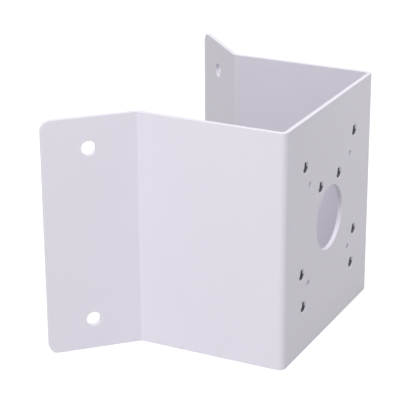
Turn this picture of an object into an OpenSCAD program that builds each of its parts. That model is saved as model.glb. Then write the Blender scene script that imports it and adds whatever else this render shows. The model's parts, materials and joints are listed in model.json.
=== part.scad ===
// Corner mount bracket for a surveillance camera.
// One folded steel sheet straddles the outer corner of a building: a front plate for the camera,
// two side panels and two flanges that lie on the two walls. The front plate has a cable bore, eight
// tapped holes and four plain ones. All sizes in millimetres, with +Z up and the front plate
// facing -Y.

/* [Sheet] */
// Thickness of the steel sheet
sheet_t = 3; // [2:0.5:4]
// Inside radius of every fold
bend_in_r = 1.5; // [0.5:0.25:3]
// Height of the bracket
height = 165; // [150:1:220]

/* [Front plate] */
// Width over the two side panels
front_w = 151; // [130:1:200]
// Diameter of the cable bore in the middle
cable_bore_d = 45; // [30:1:48]

/* [Side panels and flanges] */
// Depth of a side panel, from the front face to the sharp corner of its flange fold
side_d = 106; // [70:1:160]
// Length of a flange, from the sharp corner of its fold
flange_l = 64.5; // [52:0.5:90]
// Angle that a flange turns outwards from its side panel
flange_angle = 45; // [35:1:55]
// Radius of the flange's free corners
flange_corner_r = 7; // [3:0.5:12]

/* [Wall bolt holes] */
// Diameter of a bolt hole in a flange
wall_hole_d = 10; // [6:0.5:14]
// Distance of the holes from the sharp corner of the flange's fold
wall_hole_x = 33; // [25:0.5:40]
// Height between the two holes of a flange
wall_hole_spacing = 122; // [80:1:124]

/* [Tapped holes] */
// Diameter of the bore inside its thread
thread_bore_d = 6.8; // [5:0.1:8]
// Depth of the 45 degree countersink in the front face
front_sink = 1; // [0.2:0.1:1.2]
// Depth of the smaller countersink in the back face
back_sink = 0.5; // [0.2:0.1:0.6]
// Width between the outer holes, near the plate's corners
outer_pair_w = 85; // [80:0.5:100]
// Height between the outer holes
outer_pair_h = 99; // [92:0.5:110]
// Width between the two holes above the cable bore
upper_pair_w = 31.5; // [28:0.5:36]
// Height of that pair above the middle of the plate
upper_pair_z = 27; // [26:0.5:32]
// Width between the two holes beside the bottom of the cable bore
lower_pair_w = 92; // [86:0.5:100]
// Depth of that pair below the middle of the plate
lower_pair_z = 25; // [15:0.5:30]

/* [Plain screw holes] */
// Side of the square on which the four plain holes lie
plain_hole_square = 70; // [66:0.5:74]
// Diameter of a plain hole
plain_hole_d = 4.5; // [3:0.5:6]

/* [Hidden] */
$fn = 96;

steel_white = [0.89, 0.88, 0.91];

right_angle = 90;
bend_out_r = bend_in_r + sheet_t;
overall_d = side_d + flange_l * cos(flange_angle) + sheet_t * sin(flange_angle);
front_y = -overall_d / 2;
cut_over = 1;
// How far each rounding arc is set towards its corner, so that it crosses both faces cleanly
arc_shift = 0.004;

TAPPED_HOLES = [
    for (side = [-1, 1], level = [-1, 1]) [side * outer_pair_w / 2, level * outer_pair_h / 2],
    for (side = [-1, 1]) [side * upper_pair_w / 2, upper_pair_z],
    for (side = [-1, 1]) [side * lower_pair_w / 2, -lower_pair_z]
];
PLAIN_HOLES = [
    for (side = [-1, 1], level = [-1, 1]) [side, level] * plain_hole_square / 2
];

// Kite along +X from the middle of an arc to the sharp corner that the arc rounds
module kite(arc_r, angle) {
    half = angle / 2;
    polygon([[0, 0], arc_r * [cos(half), -sin(half)], [arc_r / cos(half), 0], arc_r * [cos(half), sin(half)]]);
}

// What lies between an arc and its corner, and on past the corner by a margin
module corner_gap(arc_r, angle, margin) {
    translate([arc_shift, 0])
        difference() {
            kite(arc_r + margin, angle);
            circle(arc_r);
        }
}

// Frame in the middle of the fold between front plate and side panel, with +X to its sharp corner
module at_front_fold() {
    translate([front_w / 2 - bend_out_r, bend_out_r]) rotate(-right_angle / 2) children();
}

// The same for the fold between side panel and flange
module at_flange_fold() {
    translate([front_w / 2 + bend_in_r, side_d - bend_in_r * tan(flange_angle / 2)])
        rotate(2 * right_angle - flange_angle / 2) children();
}

// Half of the folded section before its folds are rounded, seen from above
module sharp_section() {
    along = [sin(flange_angle), cos(flange_angle)];
    to_wall = [-cos(flange_angle), sin(flange_angle)];
    fold = [front_w / 2, side_d];
    polygon([
        [0, 0],
        [front_w / 2, 0],
        fold,
        fold + flange_l * along,
        fold + flange_l * along + sheet_t * to_wall,
        fold + sheet_t * [-1, tan(flange_angle / 2)],
        [front_w / 2 - sheet_t, sheet_t],
        [0, sheet_t]
    ]);
}

// Half of the folded section: half front plate, side panel and flange
module half_section() {
    difference() {
        union() {
            sharp_section();
            at_front_fold() corner_gap(bend_in_r, right_angle, sheet_t / 2);
            at_flange_fold() corner_gap(bend_in_r, flange_angle, sheet_t / 2);
        }
        at_front_fold() corner_gap(bend_out_r, right_angle, cut_over);
        at_flange_fold() corner_gap(bend_out_r, flange_angle, cut_over);
    }
}

// Frame on the front face: X across, Y up from the middle of the plate, Z out of the face
module on_front() {
    translate([0, front_y, height / 2]) rotate([right_angle, 0, 0]) children();
}

// Frame on the right flange: X along it from the sharp corner of the fold, Y up from the middle
module on_flange() {
    translate([front_w / 2, front_y + side_d, height / 2])
        rotate([right_angle, 0, right_angle - flange_angle]) children();
}

// Cutter through the sheet at the origin of a frame
module through_hole(d) {
    translate([0, 0, -sheet_t - cut_over]) cylinder(d = d, h = sheet_t + 2 * cut_over);
}

// Cutter for a tapped hole at the origin of a frame, countersunk at both ends
module tapped_hole() {
    bore_r = thread_bore_d / 2;
    rotate_extrude()
        polygon([
            [0, -sheet_t - cut_over],
            [bore_r + back_sink + cut_over, -sheet_t - cut_over],
            [bore_r, -sheet_t + back_sink],
            [bore_r, -front_sink],
            [bore_r + front_sink + cut_over, cut_over],
            [0, cut_over]
        ]);
}

// Waste outside the rounded upper corner of the right flange
module corner_waste() {
    translate([flange_l - flange_corner_r, height / 2 - flange_corner_r, -sheet_t - cut_over])
        linear_extrude(sheet_t + 2 * cut_over)
            rotate(right_angle / 2) corner_gap(flange_corner_r, right_angle, cut_over);
}

// Everything cut out of the right flange
module flange_cuts() {
    on_flange()
        for (upside_down = [0, 1]) mirror([0, upside_down, 0]) {
            translate([wall_hole_x, wall_hole_spacing / 2]) through_hole(wall_hole_d);
            corner_waste();
        }
}

module bracket_sheet() {
    color(steel_white)
    difference() {
        translate([0, front_y, 0])
            linear_extrude(height) {
                half_section();
                mirror([1, 0]) half_section();
            }
        on_front() {
            through_hole(cable_bore_d);
            for (place = TAPPED_HOLES) translate(place) tapped_hole();
            for (place = PLAIN_HOLES) translate(place) through_hole(plain_hole_d);
        }
        flange_cuts();
        mirror([1, 0, 0]) flange_cuts();
    }
}

bracket_sheet();
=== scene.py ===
"""Looks of a folded steel corner mount bracket: white powder coat, and bare threads in its tapped holes."""

import json
import math

import bmesh
import bpy
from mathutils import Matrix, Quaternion, Vector


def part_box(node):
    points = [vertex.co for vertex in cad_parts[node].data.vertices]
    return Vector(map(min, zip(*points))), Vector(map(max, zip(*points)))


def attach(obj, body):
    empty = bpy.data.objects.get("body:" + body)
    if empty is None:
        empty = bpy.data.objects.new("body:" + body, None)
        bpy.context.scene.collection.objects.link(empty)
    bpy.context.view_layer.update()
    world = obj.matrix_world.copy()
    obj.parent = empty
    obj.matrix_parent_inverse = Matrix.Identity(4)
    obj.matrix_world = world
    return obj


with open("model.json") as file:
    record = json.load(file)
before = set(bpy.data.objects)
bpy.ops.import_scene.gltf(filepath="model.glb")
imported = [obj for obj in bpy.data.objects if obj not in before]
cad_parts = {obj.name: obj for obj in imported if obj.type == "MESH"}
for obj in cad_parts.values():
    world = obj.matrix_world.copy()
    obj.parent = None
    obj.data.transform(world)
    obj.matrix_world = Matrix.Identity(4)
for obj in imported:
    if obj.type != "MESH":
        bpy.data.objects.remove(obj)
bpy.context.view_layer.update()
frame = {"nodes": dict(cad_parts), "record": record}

MM = 0.001
low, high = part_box("bracket_sheet")
HEIGHT = high.z - low.z
FRONT_Y = low.y

# Camera
CAMERA_AZIMUTH = math.radians(-63.246)
CAMERA_ELEVATION = math.radians(21.073)
CAMERA_ROLL = math.radians(-0.336)
CAMERA_DISTANCE = 7.061 * HEIGHT
CAMERA_TARGET = Vector((0.0859 * HEIGHT, FRONT_Y + 0.640 * HEIGHT, 0.4381 * HEIGHT))
PHOTO_SIDE = 400
FOCAL_LENGTH = 1626.2
SENSOR_WIDTH = 36.0

# Every noise is a scale, a detail and a roughness, and every bump a strength and a distance.
# Shades are the darkest and the lightest share of a colour.
NOISE_RANGE = (0.3, 0.7)

# Paint
PAINT_COLOR = (0.815, 0.785, 0.872)
PAINT_SHADES = (0.985, 1.015)
PAINT_DRIFT = (9.0, 2.0, 0.5)
PAINT_PEEL = (620.0, 3.0, 0.55)
PAINT_BUMP = (0.12, 0.05 * MM)
PAINT_ROUGHNESS = (0.38, 0.46)
PAINT_SPECULAR = 0.28

# Sheet and its edges
SHEET_THICKNESS = 3.0 * MM
WELD_LENGTH = 0.001 * MM
FLAT_ANGLE = math.radians(0.5)
EDGE_ROUND = 0.30 * MM
EDGE_ANGLE = math.radians(40)
EDGE_SEGMENTS = 3
NORMAL_WEIGHT = 50

# Threads
THREAD_STEEL = (0.15, 0.143, 0.162)
STEEL_SHADES = (0.75, 1.20)
STEEL_MOTTLE = (900.0, 4.0, 0.6)
STEEL_BUMP = (0.2, 0.02 * MM)
STEEL_ROUGHNESS = (0.36, 0.55)
THREAD_PITCH = 1.25 * MM
THREAD_DEPTH = 0.6 * MM
THREAD_START = 0.65 * MM
THREAD_SHARP_ANGLE = math.radians(35)
CREST_WIDTH = 0.2
ROOT_WIDTH = 0.12
CLEAR_OUT = 0.02 * MM
CLEAR_IN = 0.20 * MM
CUT_OVER = 1.2 * MM
BACK_SINK = 0.3 * MM
SLIVER_LENGTH = 0.002 * MM
TURN_STEPS = 64
STEPS_PER_PITCH = 12

# Light
AMBIENT = 0.51
FLOOR_SIZE = 30
FLOOR_Z = -0.2 * MM
FLOOR_TONE = 0.42
SHADOW_SHARE = 0.25
FLOOR_GLOW = 1.0 - 0.6 * SHADOW_SHARE
KEY_POWER = 29.5
KEY_SIZE = 1.6
KEY_PLACE = Vector((-0.92, -0.19, 2.03))
LOW_POWER = 2.85
LOW_SIZE = 0.25
LOW_PLACE = Vector((1.20, 0.0, 0.06))
FILL_POWER = 0.12
FILL_SIZE = 0.25
FILL_PLACE = Vector((0.15, -0.30, 0.30))


def new_material(name):
    """A new node material with its nodes, its links and its shader."""
    material = bpy.data.materials.new(name)
    material.use_nodes = True
    nodes = material.node_tree.nodes
    return material, nodes, material.node_tree.links, nodes["Principled BSDF"]


def uneven_material(name, color, shades, roughness, bump, relief, drift=None):
    """Material whose roughness and relief vary with one noise, and its tone with a second one or the same."""
    material, nodes, links, shader = new_material(name)
    place = nodes.new("ShaderNodeTexCoord").outputs["Object"]

    def noise(settings):
        node = nodes.new("ShaderNodeTexNoise")
        for socket, value in zip(("Scale", "Detail", "Roughness"), settings):
            node.inputs[socket].default_value = value
        links.new(place, node.inputs["Vector"])
        return node.outputs["Fac"]

    height = noise(relief)
    tone = nodes.new("ShaderNodeMix")
    tone.data_type = "RGBA"
    for socket, share in zip("AB", shades):
        tone.inputs[socket].default_value = [share * c for c in color] + [1.0]
    links.new(noise(drift) if drift else height, tone.inputs["Factor"])
    links.new(tone.outputs["Result"], shader.inputs["Base Color"])

    gloss = nodes.new("ShaderNodeMapRange")
    for socket, value in zip(("From Min", "From Max", "To Min", "To Max"), NOISE_RANGE + roughness):
        gloss.inputs[socket].default_value = value
    links.new(height, gloss.inputs["Value"])
    links.new(gloss.outputs["Result"], shader.inputs["Roughness"])

    uneven = nodes.new("ShaderNodeBump")
    uneven.inputs["Strength"].default_value, uneven.inputs["Distance"].default_value = bump
    links.new(height, uneven.inputs["Height"])
    links.new(uneven.outputs["Normal"], shader.inputs["Normal"])
    return material, shader


def powder_coat():
    """White powder coat: orange peel, a faint drift in tone and a satin gloss that varies a little."""
    material, shader = uneven_material("white_powder_coat", PAINT_COLOR, PAINT_SHADES, PAINT_ROUGHNESS,
                                       PAINT_BUMP, PAINT_PEEL, PAINT_DRIFT)
    shader.inputs["Specular IOR Level"].default_value = PAINT_SPECULAR
    return material


def bare_steel():
    """Steel as the tap left it: grey metal with a mottled dullness."""
    material, shader = uneven_material("bare_steel", THREAD_STEEL, STEEL_SHADES, STEEL_ROUGHNESS,
                                       STEEL_BUMP, STEEL_MOTTLE)
    shader.inputs["Metallic"].default_value = 1.0
    return material


def paint_sheet():
    """Coats the sheet and rounds its cut edges by a hair, as paint does."""
    sheet = frame["nodes"]["bracket_sheet"]
    coat = powder_coat()
    for slot in sheet.material_slots:
        slot.material = coat
    weld = sheet.modifiers.new("weld", "WELD")
    weld.merge_threshold = WELD_LENGTH
    flat = sheet.modifiers.new("flat", "DECIMATE")
    flat.decimate_type = "DISSOLVE"
    flat.angle_limit = FLAT_ANGLE
    edge = sheet.modifiers.new("edge", "BEVEL")
    edge.width = EDGE_ROUND
    edge.segments = EDGE_SEGMENTS
    edge.limit_method = "ANGLE"
    edge.angle_limit = EDGE_ANGLE
    edge.use_clamp_overlap = False
    normals = sheet.modifiers.new("normals", "WEIGHTED_NORMAL")
    normals.mode = "FACE_AREA_WITH_ANGLE"
    normals.weight = NORMAL_WEIGHT
    normals.keep_sharp = False


def thread_places():
    """Middle of each tapped hole and the radius of its bore, from the record's bolt patterns."""
    for mount in frame["record"]["mounts"]:
        if not mount["name"].endswith("_threads"):
            continue
        dims = mount["dims"]
        across = dims["spacing_x_mm"] / 2 * MM
        up = dims.get("spacing_y_mm", 0) / 2 * MM
        for side in (-1, 1):
            for level in ((-1, 1) if up else (0,)):
                yield Vector(mount["pos_m"]) + Vector((side * across, 0, level * up)), dims["hole_r_mm"] * MM


def cut_depth(depth, turn):
    """How far the tap cuts past the bore, at a depth below the front face and a share of a turn.

    It is less than nothing where the paint stays. The thread is right-handed and starts abruptly at
    turn 0, a little below the front face.
    """
    turns = (depth - THREAD_START) / THREAD_PITCH - (1.0 - turn)
    if turns < CREST_WIDTH / 2 - 0.5 or depth > SHEET_THICKNESS - BACK_SINK:
        return -CLEAR_IN
    off_root = abs(turns - round(turns))
    flank = (1.0 - CREST_WIDTH - ROOT_WIDTH) / 2
    share = min(1.0, max(0.0, (0.5 - CREST_WIDTH / 2 - off_root) / flank))
    return CLEAR_OUT + THREAD_DEPTH * share


def screw_cutter(shape, mouth, bore_r, length):
    """Adds one closed screw-shaped body to a mesh, along +Y from its mouth."""
    steps = round(length / THREAD_PITCH * STEPS_PER_PITCH)
    rows = []
    for turn_step in range(TURN_STEPS):
        turn = turn_step / TURN_STEPS
        angle = 2 * math.pi * turn
        out = Vector((math.cos(angle), 0, math.sin(angle)))
        row = []
        for step in range(steps + 1):
            depth = length * step / steps
            r = bore_r + cut_depth(depth - CUT_OVER, turn)
            row.append(shape.verts.new(mouth + r * out + Vector((0, depth, 0))))
        rows.append(row)
    for here, there in zip(rows, rows[1:] + rows[:1]):
        for k in range(steps):
            shape.faces.new((here[k], here[k + 1], there[k + 1], there[k]))
    for k in (0, steps):
        shape.faces.new([row[k] for row in rows])


def thread_cutters():
    """Hidden screw-shaped bodies, one for each tapped hole."""
    shape = bmesh.new()
    for place, bore_r in thread_places():
        mouth = Vector((place.x, FRONT_Y - CUT_OVER, place.z))
        screw_cutter(shape, mouth, bore_r, SHEET_THICKNESS + 2 * CUT_OVER)
    bmesh.ops.recalc_face_normals(shape, faces=shape.faces)
    mesh = bpy.data.meshes.new("thread_cutters")
    shape.to_mesh(mesh)
    shape.free()
    mesh.shade_smooth()
    mesh.set_sharp_from_angle(angle=THREAD_SHARP_ANGLE)
    mesh.materials.append(bare_steel())
    cutters = bpy.data.objects.new("thread_cutters", mesh)
    bpy.context.collection.objects.link(cutters)
    cutters.hide_render = True
    cutters.hide_viewport = True
    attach(cutters, "root")
    return cutters


def cut_threads():
    """Cuts a real thread into every tapped hole, through the paint to bare steel, and leaves a clean mesh."""
    modifiers = frame["nodes"]["bracket_sheet"].modifiers
    thread = modifiers.new("thread", "BOOLEAN")
    thread.operation = "DIFFERENCE"
    thread.object = thread_cutters()
    thread.solver = "EXACT"
    thread.material_mode = "TRANSFER"
    slivers = modifiers.new("slivers", "WELD")
    slivers.merge_threshold = SLIVER_LENGTH
    facets = modifiers.new("facets", "TRIANGULATE")
    facets.quad_method = "BEAUTY"
    facets.ngon_method = "BEAUTY"
    facets.keep_custom_normals = True


def seen_by_eye(nodes, links):
    """1 for camera, glossy and transmission rays, and 0 for the rays that carry light."""
    path = nodes.new("ShaderNodeLightPath")
    most = path.outputs["Is Camera Ray"]
    for name in ("Is Glossy Ray", "Is Transmission Ray"):
        larger = nodes.new("ShaderNodeMath")
        larger.operation = "MAXIMUM"
        links.new(most, larger.inputs[0])
        links.new(path.outputs[name], larger.inputs[1])
        most = larger.outputs[0]
    return most


def pale_world():
    """White where it is seen, and an even plain light elsewhere."""
    world = bpy.data.worlds.new("pale_world")
    bpy.context.scene.world = world
    world.use_nodes = True
    nodes, links = world.node_tree.nodes, world.node_tree.links
    nodes.clear()
    mix = nodes.new("ShaderNodeMixShader")
    links.new(seen_by_eye(nodes, links), mix.inputs["Fac"])
    for socket, strength in ((1, AMBIENT), (2, 1.0)):
        background = nodes.new("ShaderNodeBackground")
        background.inputs["Color"].default_value = (1, 1, 1, 1)
        background.inputs["Strength"].default_value = strength
        links.new(background.outputs["Background"], mix.inputs[socket])
    out = nodes.new("ShaderNodeOutputWorld")
    links.new(mix.outputs["Shader"], out.inputs["Surface"])


def pale_floor():
    """Floor that is white where it is seen, apart from a light shadow under the bracket."""
    bpy.ops.mesh.primitive_plane_add(size=FLOOR_SIZE, location=(0, 0, FLOOR_Z))
    floor = bpy.context.active_object
    floor.name = "floor"
    material, nodes, links, shader = new_material("floor_white")
    nodes.remove(shader)
    plain, shaded = nodes.new("ShaderNodeBsdfDiffuse"), nodes.new("ShaderNodeBsdfDiffuse")
    for diffuse, tone in ((plain, FLOOR_TONE), (shaded, SHADOW_SHARE)):
        diffuse.inputs["Color"].default_value = (tone, tone, tone, 1)
    glow = nodes.new("ShaderNodeEmission")
    glow.inputs["Color"].default_value = (1, 1, 1, 1)
    glow.inputs["Strength"].default_value = FLOOR_GLOW
    seen = nodes.new("ShaderNodeAddShader")
    links.new(shaded.outputs["BSDF"], seen.inputs[0])
    links.new(glow.outputs["Emission"], seen.inputs[1])
    mix = nodes.new("ShaderNodeMixShader")
    links.new(seen_by_eye(nodes, links), mix.inputs["Fac"])
    links.new(plain.outputs["BSDF"], mix.inputs[1])
    links.new(seen.outputs["Shader"], mix.inputs[2])
    links.new(mix.outputs["Shader"], nodes["Material Output"].inputs["Surface"])
    floor.data.materials.append(material)


def soft_lamp(name, place, power, size):
    """Round soft lamp that shines at the middle of the bracket."""
    lamp = bpy.data.lights.new(name, "AREA")
    lamp.shape = "DISK"
    lamp.size = size
    lamp.energy = power
    holder = bpy.data.objects.new(name, lamp)
    holder.location = place
    holder.rotation_mode = "QUATERNION"
    holder.rotation_quaternion = (Vector((0, 0, HEIGHT / 2)) - place).to_track_quat("-Z", "Y")
    bpy.context.collection.objects.link(holder)


def photo_camera():
    """Camera at the photograph's viewing angle."""
    lens = bpy.data.cameras.new("camera")
    lens.sensor_width = SENSOR_WIDTH
    lens.lens = SENSOR_WIDTH * FOCAL_LENGTH / PHOTO_SIDE
    camera = bpy.data.objects.new("camera", lens)
    flat = math.cos(CAMERA_ELEVATION)
    back = Vector((
        math.sin(CAMERA_AZIMUTH) * flat,
        -math.cos(CAMERA_AZIMUTH) * flat,
        math.sin(CAMERA_ELEVATION),
    ))
    camera.location = CAMERA_TARGET + CAMERA_DISTANCE * back
    camera.rotation_mode = "QUATERNION"
    camera.rotation_quaternion = (-back).to_track_quat("-Z", "Y") @ Quaternion((0, 0, 1), CAMERA_ROLL)
    bpy.context.collection.objects.link(camera)
    bpy.context.scene.camera = camera


photo_camera()
paint_sheet()
cut_threads()
pale_world()
pale_floor()
soft_lamp("key", KEY_PLACE, KEY_POWER, KEY_SIZE)
for name, side in (("low_left", -1), ("low_right", 1)):
    soft_lamp(name, Vector((side * LOW_PLACE.x, LOW_PLACE.y, LOW_PLACE.z)), LOW_POWER, LOW_SIZE)
soft_lamp("fill", FILL_PLACE, FILL_POWER, FILL_SIZE)
bpy.context.scene.view_settings.view_transform = "Standard"
